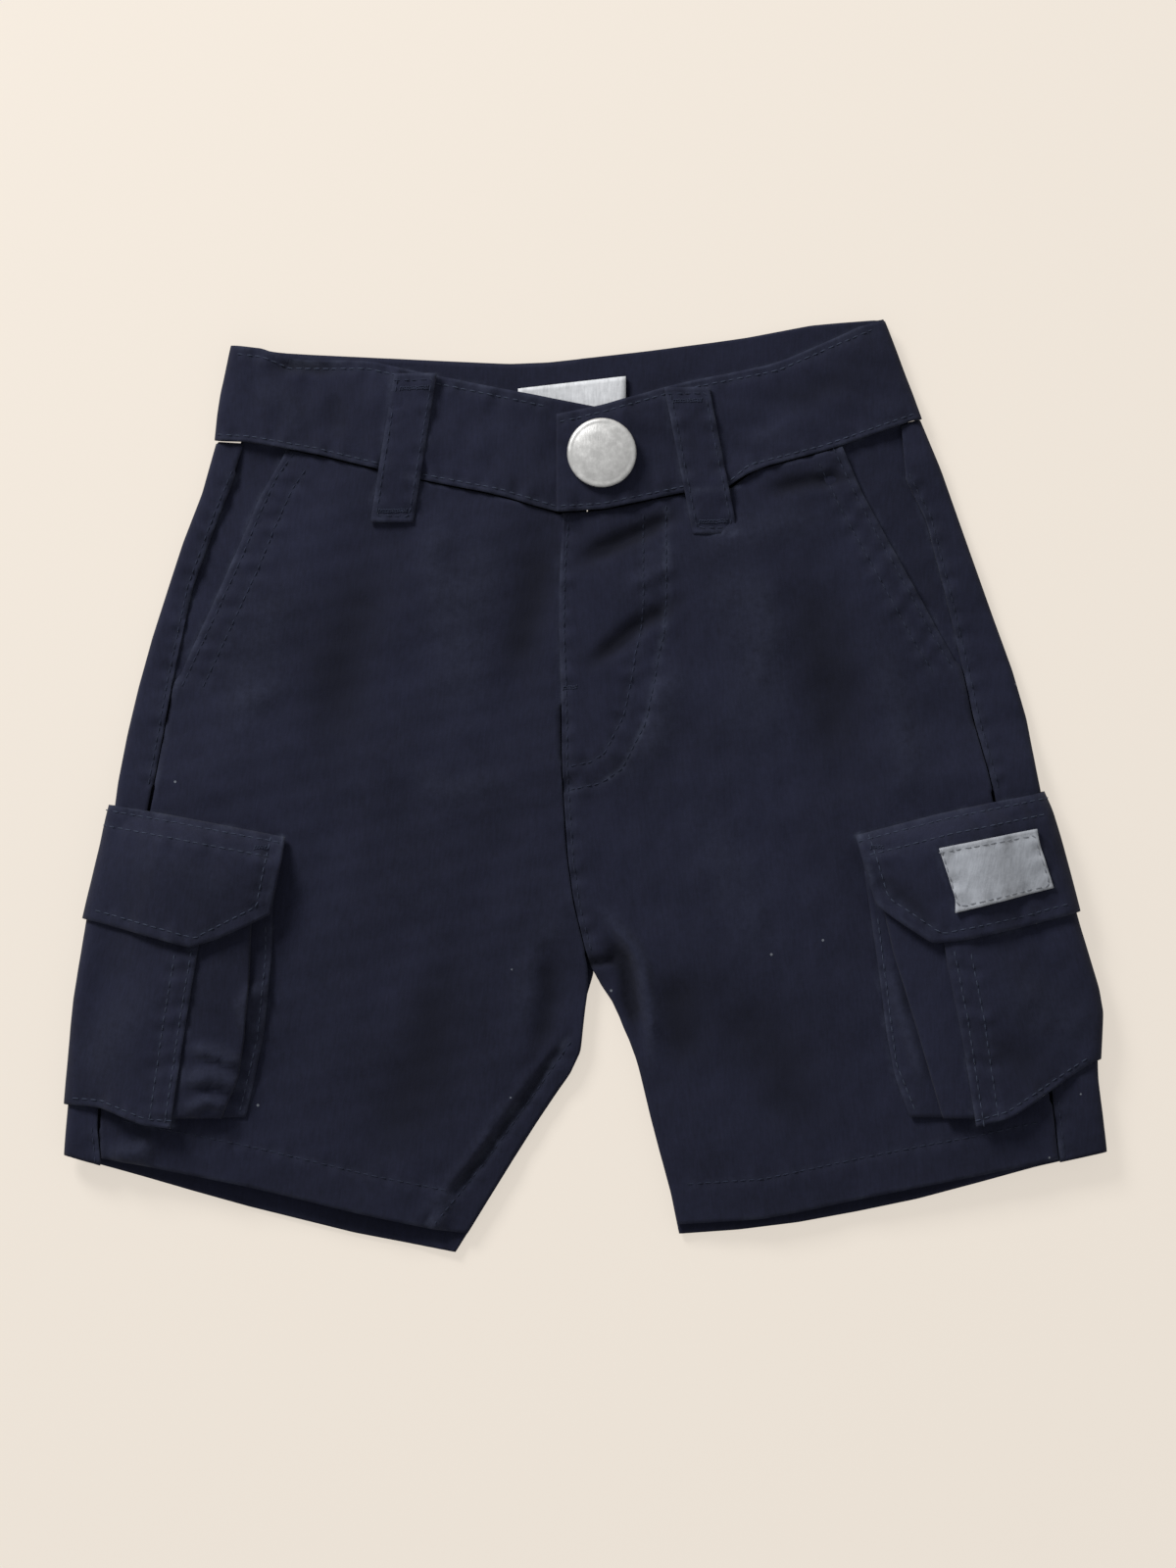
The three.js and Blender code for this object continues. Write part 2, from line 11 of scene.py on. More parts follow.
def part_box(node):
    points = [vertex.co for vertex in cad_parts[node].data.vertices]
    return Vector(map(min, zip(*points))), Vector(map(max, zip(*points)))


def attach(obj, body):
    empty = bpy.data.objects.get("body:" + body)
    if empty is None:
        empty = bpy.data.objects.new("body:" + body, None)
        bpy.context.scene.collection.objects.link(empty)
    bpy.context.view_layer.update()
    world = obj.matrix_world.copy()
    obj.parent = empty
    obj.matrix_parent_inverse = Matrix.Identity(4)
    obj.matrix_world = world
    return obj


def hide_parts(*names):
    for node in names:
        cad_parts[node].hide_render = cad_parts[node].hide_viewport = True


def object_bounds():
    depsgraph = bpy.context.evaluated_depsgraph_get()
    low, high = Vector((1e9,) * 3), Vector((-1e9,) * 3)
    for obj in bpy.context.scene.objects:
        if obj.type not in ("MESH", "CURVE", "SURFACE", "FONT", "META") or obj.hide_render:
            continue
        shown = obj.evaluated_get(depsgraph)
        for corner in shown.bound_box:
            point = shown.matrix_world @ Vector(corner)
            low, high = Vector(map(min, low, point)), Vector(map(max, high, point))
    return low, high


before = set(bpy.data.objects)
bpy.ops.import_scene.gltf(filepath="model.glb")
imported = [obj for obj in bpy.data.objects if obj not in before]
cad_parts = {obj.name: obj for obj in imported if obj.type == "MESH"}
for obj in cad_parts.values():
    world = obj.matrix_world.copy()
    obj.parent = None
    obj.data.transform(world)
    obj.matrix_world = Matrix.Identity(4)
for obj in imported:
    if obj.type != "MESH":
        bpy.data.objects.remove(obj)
CAD_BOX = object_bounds()

bl_info = {
    "name": "Baby cargo shorts",
    "version": (1, 0, 0),
    "blender": (4, 5, 0),
    "location": "View3D > Sidebar > Shorts",
    "description": "Makes a pair of baby cargo shorts laid flat",
    "category": "Object",
}

MM = 0.001
# The drawing that the lines below are given on has its origin this far from the frame's.
SHIFT_X, SHIFT_Y = 0.4, -0.2

# ---- the mesh of a cloth piece ----
FINEST_EDGE = 3.2                     # longer edges than this are cut in two, in mm
SAME_PLACE = 1e-6                     # closer vertices than this are one, in metres
FLAT_ANGLE, SQUARE_ANGLE = math.radians(20), math.radians(60)
RIM_ANGLE, RIM_CREASE = math.radians(45), 0.7
CUTTING_ROUNDS = 5

# ---- how washed cloth takes its shape: lengths in mm, the rest are shares ----
CREASE_GAIN = 1.5
NARROW, NARROW_GAIN = 3, 1.35         # narrower creases than this are that much sharper
CREASE_END = 0.25                     # what is left of a crease at its two ends
LOWEST, HIGHEST = -1.7, 2.2           # the cloth never moves further than this
UPPER_FACE, UPPER_FADE = 1.8, 1.2     # the upper face starts here and is whole that much above
RAISED = 1.5                          # a piece that starts above this is all upper face
# Crease troughs are painted darker (painted shade) and crease ridges paler (painted highlight), up
# to this depth.
SHADE_REACH, TROUGH_SHADE, RIDGE_HIGHLIGHT = 1.5, 0.5, 0.1
PUCKER_WIDE, PUCKER_SHARE = 2.6, 0.5
SUNK_WIDE, SUNK_SHARE = 1.1, 0.6      # the groove that a row of stitches pulls in the cloth
ROW_WEAR_WIDE, ROW_WEAR = 1.3, 0.1
EDGE_WEAR_WIDE, EDGE_WEAR = 0.8, 0.34
RIPPLE_PITCH, FINE_RIPPLE_PITCH, FINE_RIPPLE = 34, 11, 0.4
BAND_RIPPLE = 1.5                     # the doubled cloth of the band ripples this much more
SHELTERED = 0.3                       # the share of all this that the inside of the band takes
GUSSET_LOWEST = -0.15
SEAM_REACH, SEAM_LEFT = 1.6, 0.35     # seams closer than this close up to that share
SEWN_UP = ("band_seam_right", "band_seam_left", "side_right", "side_left", "side_low_right",
           "side_low_left", "fly_edge")

# ---- stitches, in metres where not said ----
THREAD_SEGMENTS, THREAD_RINGS = 6, 4
STITCH_FILL = 0.78                    # the share of a stitch's pitch that shows as thread
LIFT_OFF = 0.00005                    # how far a thread's middle lies above the cloth
LAID_STEP, TACK_STEP = 0.9, 0.3       # spacing of the points laid on the cloth, in mm
ABOVE_ALL = 0.05
TACK_ADVANCE, TACK_HALF_WIDTH = 0.35, 0.55      # the zigzag of a bar tack, in mm
TACK_PITCH, TACK_STITCH = 0.0007, 0.0009
BUTTON_SEGMENTS = 96

# ---- the stage, in metres ----
FLOOR_SIZE, FLOOR_DROP = 8, 0.0003
FLOOR_GLOW = 0.72                     # the share of the floor's plain colour that the lens sees
SOFTBOX_SIZE, SOFTBOX_PLACE = 0.5, (-0.8, 1.15, 0.85)
LENS_SENSOR, LENS_CENTRE = 36.0, (0.0008, 0.0005)
WHITE = (1, 1, 1, 1)

# ---- the grain of each cloth piece's cut: the turn of its twill, in degrees ----
GRAIN = {"cargo_pocket_right": 12, "cargo_pocket_left": -12, "cargo_flap_right": 8,
         "cargo_flap_left": -10, "front_right": 6, "front_left": -6}

# ---- creases on each piece, in mm: how wide, how high (a trough is below zero) and where ----
CREASES = {
    "front_left": [
        (2.6, -1.0, [(26, 78), (16, 72.6), (6, 68), (-2, 64)]),
        (2.4, -0.9, [(27, 53), (16, 47), (8.7, 40.7), (0, 34)]),
        (4.0, 0.5, [(27, 68), (18, 60), (8, 54)]),
        (4.5, 0.9, [(28, 34), (21.6, 26), (20.3, 18), (15.5, 5.5)]),
        (2.2, 1.1, [(4.6, -35), (13.9, -46.6), (16, -51), (17, -57.5), (18.3, -67), (18.6, -80)]),
        (2.2, -1.2, [(7, -44), (11.5, -52), (12.5, -60), (14.5, -70)]),
        (6.0, -0.8, [(25, -52), (26, -64), (28, -80)]),
        (9.0, 0.7, [(40, 66), (48, 40), (52, 10)]),
        (9.0, -0.7, [(62, 60), (70, 30), (70, 5)]),
        (2.0, 1.0, [(74, 94), (79, 97), (83, 99)]),
        (2.2, -0.8, [(52, 84), (64, 87), (76, 88)]),
        (5.0, 0.6, [(34, 68), (52, 74), (66, 76)]),
        (10.0, -0.7, [(40, -60), (56, -80), (60, -100)]),
        (1.3, -0.9, [(-3, -50.8), (4, -50), (12, -48.6)]),
        (3.5, 0.5, [(48, 62), (52, 46), (50, 32)]),
        (5.0, 0.7, [(82, 40), (90, 18), (92, -2)]),
        (7.0, 0.6, [(34, -10), (44, -30), (50, -50)]),
        (2.0, -0.8, [(98, 100), (93, 96), (89, 90)]),
    ],
    "front_right": [
        (5.0, 0.6, [(-50, 4), (-38, -2), (-24, 2)]),
        (4.0, 0.5, [(-84, 32), (-92, 26), (-100, 22)]),
        (4.5, 0.6, [(-40, 78), (-44, 64), (-40, 48)]),
        (6.0, -0.9, [(-12, 72), (-16, 50), (-22, 30)]),
        (9.0, 0.7, [(-28, 70), (-36, 44), (-34, 20)]),
        (9.0, -0.7, [(-60, 66), (-70, 36), (-72, 10)]),
        (7.0, 0.6, [(-86, 60), (-96, 32), (-98, 8)]),
        (5.0, 0.6, [(-6, -34), (-16, -52), (-18, -72)]),
        (3.5, -0.8, [(-12, -44), (-10, -60), (-14, -78)]),
        (9.0, -0.7, [(-40, -50), (-46, -80), (-60, -108)]),
        (1.3, -0.9, [(-4.6, -70), (-16, -86.4), (-30.4, -106.3), (-46, -125)]),
        (1.8, 0.5, [(-9, -74), (-20, -88), (-34, -107), (-48, -123)]),
        (2.0, 1.0, [(-38, -114), (-42, -121), (-43, -127)]),
        (3.0, 1.6, [(-124, -98), (-126, -104), (-136, -105)]),
    ],
    "waistband_front_right": [
        (1.8, -0.8, [(-89, 119), (-84, 120), (-71, 118.6)]),
        (4.0, 0.5, [(-95, 116), (-84, 108), (-80, 100)]),
        (3.0, -0.4, [(-72, 112), (-70, 100)]),
    ],
    "waistband_front_left": [
        (4.0, -0.5, [(52, 112), (62, 110), (76, 118)]),
        (3.0, 0.5, [(46, 98), (58, 102)]),
    ],
    "cargo_gusset_right": [
        (1.8, 1.3, [(-112, -74), (-104, -76), (-97, -79)]),
        (2.0, 1.9, [(-113, -83), (-106, -82), (-97, -85)]),
        (1.6, 1.5, [(-113, -91), (-107, -89), (-101, -91)]),
        (2.0, 1.0, [(-93.5, -56), (-97, -62), (-95, -72)]),
    ],
    "cargo_gusset_left": [
        (2.2, 0.9, [(86, -50), (90, -66), (96, -84)]),
    ],
    "cargo_pocket_left": [
        (7.0, 0.6, [(118, -56), (134, -66), (146, -70)]),
        (5.0, -0.5, [(112, -72), (128, -80)]),
    ],
    "cargo_pocket_right": [
        (6.0, 0.5, [(-120, -60), (-134, -70), (-140, -84)]),
    ],
    "cargo_flap_right": [
        (5.0, 0.4, [(-130, -20), (-112, -24), (-96, -30)]),
    ],
    "cargo_flap_left": [
        (2.5, -0.5, [(82, -26), (92, -33), (98, -40)]),
    ],
}

# ---- seam and edge lines on the face of the cloth, in mm ----
LINES = {
    "band_seam_right": [(-105, 98.6), (-96, 98), (-78, 94.8), (-47, 87.2), (-25, 83), (-8.8, 78)],
    "band_seam_left": [(-7, 78), (5, 78.8), (27, 83.6), (41, 85), (47, 90), (68, 95.5),
        (94, 104.6)],
    "band_top_right": [(-99, 125), (-92, 124.2), (-84, 121), (-62, 120.8), (-53, 118.8),
        (-25, 113), (-11, 110)],
    "band_top_left": [(-8, 105.4), (4.5, 108.3), (25, 114.4), (44, 118.2), (54, 120.3),
        (71, 127.7), (81, 132)],
    "opening_right": [(-85, 96), (-90, 89), (-95.6, 77), (-100.4, 65), (-108.2, 48),
        (-117.2, 29)],
    "opening_left": [(72, 97), (75, 91), (78.8, 83), (88.7, 65), (99.7, 45), (106.4, 34)],
    "side_right": [(-99.5, 89), (-104.6, 77), (-112, 57), (-118, 29), (-120, 17), (-123, 0)],
    "side_left": [(90.5, 88), (96.6, 76), (103.2, 50), (107, 34), (110.2, 19), (114, 5),
        (115.5, -1)],
    "side_low_right": [(-139, -97), (-138, -107)],
    "side_low_left": [(132.6, -90), (134.4, -106)],
    "fly_edge": [(-6.6, 77), (-7.6, 63), (-8, 45), (-7.2, 25), (-7, 4), (-5.3, -21), (-3.5, -34),
        (-0.2, -47)],
    "fly_curve": [(22.6, 79), (22.6, 52), (21.9, 43), (20.3, 37), (19.5, 31), (16.7, 18), (10, 5),
        (4, 1), (-5, -1)],
    "flap_top_right": [(-138, -4.8), (-117, -8.5), (-86.5, -14.4)],
    "flap_low_right": [(-86.5, -14.4), (-88, -22), (-90.8, -36), (-110.5, -46), (-141, -37.8)],
    "flap_top_left": [(77, -14), (101.4, -7.6), (131, -1.6)],
    "flap_low_left": [(77, -14), (83, -33.5), (99.8, -44.8), (124, -39.8), (138, -36)],
    "panel_right": [(-109.8, -47), (-113.5, -69), (-117.4, -96.5)],
    "panel_low_right": [(-117.4, -96.5), (-125, -96), (-138, -91), (-146, -90.4)],
    "panel_left": [(102, -47), (106, -67), (110.4, -96.5)],
    "panel_low_left": [(110.4, -96.5), (120, -93.8), (131, -86.7), (143, -79)],
    "sewn_right": [(-89.6, -40), (-89.6, -49), (-92, -72), (-97, -93)],
    "sewn_left": [(81.2, -38), (83, -52), (86.4, -79), (92, -93)],
    "hem_right": [(-137, -105.8), (-127, -107.6), (-99, -113.3), (-66, -121.4), (-38, -127)],
    "hem_left": [(26, -125), (52, -123), (84, -116.2), (114, -110.2), (134, -106)],
    "patch": [(98.6, -17.6), (127.4, -12.6), (132.8, -28.8), (104.2, -35.4), (98.6, -17.6)],
    "loop_right": [(-55, 116.8), (-42.3, 117), (-49.3, 75.4), (-61.4, 75.6), (-55, 116.8)],
    "loop_left": [(22.2, 113), (34.8, 113), (43, 72.2), (30.2, 72.2), (22.2, 113)],
    "inseam_right": [(-6, -72), (-16, -86.4), (-30.4, -106.3), (-45, -124)],
}
# Rows of stitches: the line, how far in to its left it runs, and the piece it is sewn on.
ROWS = [
    ("band_seam_right", 1.6, "waistband_front_right"),
    ("band_seam_left", 1.6, "waistband_front_left"),
    ("band_top_right", -2.0, "waistband_front_right"),
    ("band_top_left", -2.0, "waistband_front_left"),
    ("opening_right", 2.0, "front_right"), ("opening_right", 7.5, "front_right"),
    ("opening_left", -2.0, "front_left"), ("opening_left", -7.5, "front_left"),
    ("fly_edge", 1.5, "front_left"),
    ("fly_curve", 0.0, "front_left"), ("fly_curve", -6.5, "front_left"),
    ("side_right", -1.6, "back_right"), ("side_left", 1.6, "back_left"),
    ("side_low_right", -1.6, "back_right"), ("side_low_left", 1.6, "back_left"),
    ("flap_top_right", -1.6, "cargo_flap_right"), ("flap_top_right", -6.0, "cargo_flap_right"),
    ("flap_low_right", -3.0, "cargo_flap_right"),
    ("flap_top_left", -1.6, "cargo_flap_left"), ("flap_top_left", -6.0, "cargo_flap_left"),
    ("flap_low_left", 3.0, "cargo_flap_left"),
    ("panel_right", -2.0, "cargo_pocket_right"), ("panel_right", -6.5, "cargo_pocket_right"),
    ("panel_low_right", -2.0, "cargo_pocket_right"),
    ("panel_left", 2.0, "cargo_pocket_left"), ("panel_left", 6.5, "cargo_pocket_left"),
    ("panel_low_left", 2.0, "cargo_pocket_left"),
    ("sewn_right", -1.6, "cargo_gusset_right"), ("sewn_left", 1.6, "cargo_gusset_left"),
    ("hem_right", 11.5, "front_right"), ("hem_left", 11.5, "front_left"),
    ("inseam_right", 1.6, "front_right"),
    ("patch", -1.2, "flap_patch"),
    ("loop_right", -1.4, "belt_loop_right"), ("loop_left", -1.4, "belt_loop_left"),
]
# Bar tacks: the centre, the length along X and the piece.
BAR_TACKS = [
    ((-4.4, 28.2), 4.5, "front_left"), ((-48.8, 113.2), 8.5, "belt_loop_right"),
    ((-54.9, 78.4), 8.5, "belt_loop_right"), ((28.9, 109.6), 8.5, "belt_loop_left"),
    ((36.2, 75.4), 8.5, "belt_loop_left"), ((-92.0, -17.2), 4.0, "cargo_flap_right"),
    ((82.5, -17.0), 4.0, "cargo_flap_left"),
]
BUTTON_PROFILE = [  # radius and height, as parts of the button's own, from the back up
    (0.0, 0.0), (0.86, 0.0), (0.97, 0.12), (1.0, 0.3), (0.985, 0.48), (0.945, 0.6),
    (0.9, 0.645), (0.86, 0.64), (0.82, 0.68), (0.7, 0.82), (0.5, 0.93), (0.28, 0.985), (0.0, 1.0),
]


def spot(x, y):
    """A place on the drawing, in metres in the frame."""
    return (x + SHIFT_X) * MM, (y + SHIFT_Y) * MM


def moved_in(line, distance):
    """The same line, moved to its left by a distance."""
    points = np.array(line, float)
    closed = np.allclose(points[0], points[-1])
    steps = np.diff(points, axis=0)
    steps /= np.linalg.norm(steps, axis=1)[:, None]
    before = np.vstack([steps[-1] if closed else steps[0], steps])
    after = np.vstack([steps, steps[0] if closed else steps[-1]])
    way = before + after
    way /= np.linalg.norm(way, axis=1)[:, None]
    stretch = 1.0 / np.maximum(0.5, (way * after).sum(axis=1))
    left = np.stack([-way[:, 1], way[:, 0]], axis=1)
    moved = points + left * (distance * stretch)[:, None]
    if not closed:
        moved[0] += steps[0] * abs(distance) * 0.4
        moved[-1] -= steps[-1] * abs(distance) * 0.4
    return moved


def from_line(places, line):
    """How far each place is from a line, and where along it, from 0 to 1."""
    line = np.array(line, float)
    lengths = np.linalg.norm(np.diff(line, axis=0), axis=1)
    starts = np.concatenate([[0.0], np.cumsum(lengths)])
    nearest = np.full(len(places), 1e9)
    along = np.zeros(len(places))
    for start, end, length, before in zip(line[:-1], line[1:], lengths, starts):
        way = (end - start) / length
        reach = np.clip((places - start) @ way, 0, length)
        far = np.linalg.norm(places - start - reach[:, None] * way, axis=1)
        closer = far < nearest
        nearest = np.where(closer, far, nearest)
        along = np.where(closer, (before + reach) / starts[-1], along)
    return nearest, along


def closed_up(places, node):
    """How far the edges of a panel move to meet its neighbour at a seam."""
    moved = np.zeros_like(places)
    if not node.startswith(("front", "back")):
        return moved
    for name in SEWN_UP:
        line = np.array(LINES[name], float)
        for start, end in zip(line[:-1], line[1:]):
            way = (end - start) / np.linalg.norm(end - start)
            reach = (places - start) @ way
            on = (reach >= 0) & (reach <= np.linalg.norm(end - start))
            gap = start + reach[:, None] * way - places
            far = np.linalg.norm(gap, axis=1)
            near = on & (far < SEAM_REACH) & (np.abs(moved).sum(axis=1) == 0)
            ease = 1 - np.clip(far / SEAM_REACH, 0, 1) ** 4
            moved[near] = (gap * ((1 - SEAM_LEFT) * ease)[:, None])[near]
    return moved


def waves(x, y, pitch, seed):
    """Soft uneven waves between -1 and 1."""
    total = np.zeros_like(x)
    for k in range(5):
        turn = seed * 1.7 + k * 2.4
        size = 2 * math.pi / (pitch * (0.7 + 0.23 * k))
        total += np.sin((x * math.cos(turn) + y * math.sin(turn)) * size + seed + k * k)
    return total / 3.2


# ---- materials ----
class Wire:
    """One socket of a shader tree, with arithmetic."""

    def __init__(self, tree, socket):
        self.tree, self.socket = tree, socket

    def maths(self, operation, *values, clamp=False):
        node = self.tree.nodes.new("ShaderNodeMath")
        node.operation, node.use_clamp = operation, clamp
        for place, value in zip(node.inputs, values):
            join(self.tree, place, value)
        return Wire(self.tree, node.outputs[0])

    def __add__(self, other):
        return self.maths("ADD", self, other)

    def __sub__(self, other):
        return self.maths("SUBTRACT", self, other)

    def __mul__(self, other):
        return self.maths("MULTIPLY", self, other)

    __radd__, __rmul__ = __add__, __mul__

    def clamp(self):
        return self.maths("ADD", self, 0.0, clamp=True)

    def node(self, kind, settings=None, output=0, **values):
        made = self.tree.nodes.new(kind)
        for name, value in (settings or {}).items():
            setattr(made, name, value)
        for name, value in values.items():
            join(self.tree, made.inputs[name.replace("_", " ")], value)
        return Wire(self.tree, made.outputs[output])


def join(tree, place, value):
    """Wires a value into a socket, or sets the socket to it."""
    if isinstance(value, Wire):
        tree.links.new(value.socket, place)
    else:
        place.default_value = value


def blend(wire, part, low, high):
    """A colour between two, by a part from 0 to 1."""
    made = wire.tree.nodes.new("ShaderNodeMix")
    made.data_type = "RGBA"
    for place, value in ((0, part), (6, low), (7, high)):
        join(wire.tree, made.inputs[place], value)
    return Wire(wire.tree, made.outputs[2])


def start_material(name):
    """A new material, its shader and its place on the object."""
    material = bpy.data.materials.new(name)
    material.use_nodes = True
    tree = material.node_tree
    shader = tree.nodes["Principled BSDF"]
    place = tree.nodes.new("ShaderNodeTexCoord")
    return material, shader, Wire(tree, place.outputs["Object"])


def shade(colour, share):
    """A darker or lighter colour, with full alpha."""
    return tuple(part * share for part in colour) + (1.0,)


def cloth_material(name, colour, wear_and_ridge_highlight, weave, grain=0.0, speck=0.0, ribs=0.35):
    """Woven cloth: a fine twill, mottled dye, paler thread where it is worn, painted shade in
    crease troughs and a painted highlight on crease ridges.
    """
    material, shader, place = start_material(name)
    turned = place.node("ShaderNodeMapping", Vector=place, Rotation=(0, 0, math.radians(grain)))
    cloudy = turned.node("ShaderNodeTexNoise", Vector=turned, Scale=28.0, Detail=5.0, Roughness=0.6)
    streaky_at = turned.node("ShaderNodeMapping", Vector=turned, Scale=(1.0, 0.16, 1.0))
    streaky = turned.node("ShaderNodeTexNoise", Vector=streaky_at, Scale=1500.0, Detail=3.0)
    slubs = turned.node("ShaderNodeTexNoise", Vector=turned, Scale=520.0, Detail=4.0, Roughness=0.7)
    twill = turned.node("ShaderNodeTexWave", {"bands_direction": "DIAGONAL"}, output=1,
                        Vector=turned, Scale=1000.0 / weave / 20.0, Distortion=1.2,
                        Detail=2.0, Detail_Scale=2.0)
    wear_and_highlight_at = place.node("ShaderNodeAttribute", {"attribute_name": "wear_and_ridge_highlight"}, output=2)
    pale = (wear_and_highlight_at * (slubs * 2.2 - 0.35)).clamp()
    mottle = ((cloudy - 0.5) * 1.5 + (streaky - 0.5) * 0.9 + (slubs - 0.5) * 0.9 + 0.5).clamp()
    dye_wear_and_painted_light = blend(place, mottle, shade(colour, 0.72), shade(colour, 1.34))
    # Painted shade: in crease troughs the colour is darkened to 0.3 of itself.
    painted_trough_shade = place.node("ShaderNodeAttribute", {"attribute_name": "painted_trough_shade"}, output=2)
    dye_wear_and_painted_light = blend(place, painted_trough_shade, dye_wear_and_painted_light, shade(colour, 0.3))
    # Paler where the cloth is worn along edges and stitch rows, and a painted highlight on crease
    # ridges.
    dye_wear_and_painted_light = blend(place, pale, dye_wear_and_painted_light, wear_and_ridge_highlight + (1.0,))
    if speck:
        lint = place.node("ShaderNodeTexVoronoi", {"feature": "F1"}, Vector=place, Scale=52.0)
        dot = place.maths("LESS_THAN", lint, speck)
        dye_wear_and_painted_light = blend(place, dot * 0.35, dye_wear_and_painted_light, (0.35, 0.38, 0.42, 1.0))
    join(place.tree, shader.inputs["Base Color"], dye_wear_and_painted_light)
    join(place.tree, shader.inputs["Roughness"], 0.86 + (slubs - 0.5) * 0.12)
    shader.inputs["Specular IOR Level"].default_value = 0.12
    shader.inputs["Sheen Weight"].default_value = 0.04
    shader.inputs["Sheen Roughness"].default_value = 0.6
    height = twill * ribs + streaky * 0.5 + slubs * 0.9
    bump = place.node("ShaderNodeBump", Strength=0.5, Distance=0.00022, Height=height)
    join(place.tree, shader.inputs["Normal"], bump)
    return material


def metal_material(name, colour):
    """Satin nickel with faint brushing and small dull marks."""
    material, shader, place = start_material(name)
    brushed_at = place.node("ShaderNodeMapping", Vector=place, Scale=(1.0, 0.12, 1.0))
    brushed = place.node("ShaderNodeTexNoise", Vector=brushed_at, Scale=2600.0, Detail=3.0)
    marks = place.node("ShaderNodeTexNoise", Vector=place, Scale=420.0, Detail=5.0, Roughness=0.65)
    dull = ((marks - 0.42) * 2.6).clamp()
    silvery = blend(place, dull, shade(colour, 0.72), colour + (1.0,))
    join(place.tree, shader.inputs["Base Color"], silvery)
    join(place.tree, shader.inputs["Roughness"], 0.4 + (brushed - 0.5) * 0.2 + dull * 0.12)
    shader.inputs["Metallic"].default_value = 0.55
    bump = place.node("ShaderNodeBump", Strength=0.35, Distance=0.0001, Height=brushed + marks)
    join(place.tree, shader.inputs["Normal"], bump)
    return material


# ---- cloth ----
def fine_copy(node):
    """A copy of a CAD wall with short edges, smoothed, and its rims kept."""
    mesh = bpy.data.meshes.new(node)
    bm = bmesh.new()
    bm.from_mesh(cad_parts[node].data)
    bmesh.ops.remove_doubles(bm, verts=bm.verts, dist=SAME_PLACE)
    bmesh.ops.join_triangles(bm, faces=bm.faces, angle_face_threshold=FLAT_ANGLE,
                             angle_shape_threshold=SQUARE_ANGLE)
    for _ in range(CUTTING_ROUNDS):
        edges = [edge for edge in bm.edges if edge.calc_length() > FINEST_EDGE * MM]
        if not edges:
            break
        bmesh.ops.subdivide_edges(bm, edges=edges, cuts=1, use_grid_fill=True)
    crease = bm.edges.layers.float.new("crease_edge")
    for edge in bm.edges:
        if len(edge.link_faces) == 2 and edge.calc_face_angle() > RIM_ANGLE:
            edge[crease] = RIM_CREASE
    bm.to_mesh(mesh)
    bm.free()
    made = bpy.data.objects.new(node + "_cloth", mesh)
    bpy.context.scene.collection.objects.link(made)
    smooth = made.modifiers.new("smooth", "SUBSURF")
    smooth.levels = smooth.render_levels = 1
    return plain(made)


def plain(made):
    """The evaluated object as a plain mesh, with no modifier left."""
    view = bpy.context.evaluated_depsgraph_get()
    mesh = bpy.data.meshes.new_from_object(made.evaluated_get(view))
    made.modifiers.clear()
    made.data = mesh
    return made


def edge_wear(places):
    """Rubbing along an edge comes and goes."""
    return np.clip(0.6 + 0.8 * waves(places[:, 0], places[:, 1], 9, 2), 0.1, 1.3)


def lines_on(node):
    """The rows of stitches sewn on a piece."""
    return [moved_in(LINES[name], distance) for name, distance, on in ROWS if on == node]


def creases_share(on, node, places):
    """How much of a crease a piece takes: the underlap follows the fly that covers it."""
    if on == node:
        return 1.0
    if on == "front_left" and node == "front_right":
        return (places[:, 0] > -8.5) & (places[:, 1] > 20)
    return None


def creased(node, places):
    """How far the creases on a piece lift it, or sink it below zero."""
    rise = np.zeros(len(places))
    for on, creases in CREASES.items():
        share = creases_share(on, node, places)
        if share is None:
            continue
        for wide, high, line in creases:
            far, along = from_line(places, line)
            ends = np.clip(np.minimum(along, 1 - along) * 4, 0, 1)
            bend = high * np.exp(-(far / wide) ** 2) * (CREASE_END + (1 - CREASE_END) * ends)
            gain = CREASE_GAIN * (NARROW_GAIN if wide < NARROW else 1.0)
            rise += gain * bend * share
    return rise


def upper_face(node, heights):
    """1 on the upper face of a piece, fading to 0 on the face that lies below."""
    if node in ("flap_patch", "neck_label", "waistband_back") or heights.min() > RAISED:
        return np.ones(len(heights))
    return np.clip((heights - UPPER_FACE) / UPPER_FADE, 0, 1)


def mark(made, name, values):
    """Stores a value from 0 to 1 at each vertex for the material to read."""
    layer = made.data.attributes.new(name, "FLOAT", "POINT")
    layer.data.foreach_set("value", np.clip(values, 0, 1).astype(np.float32))


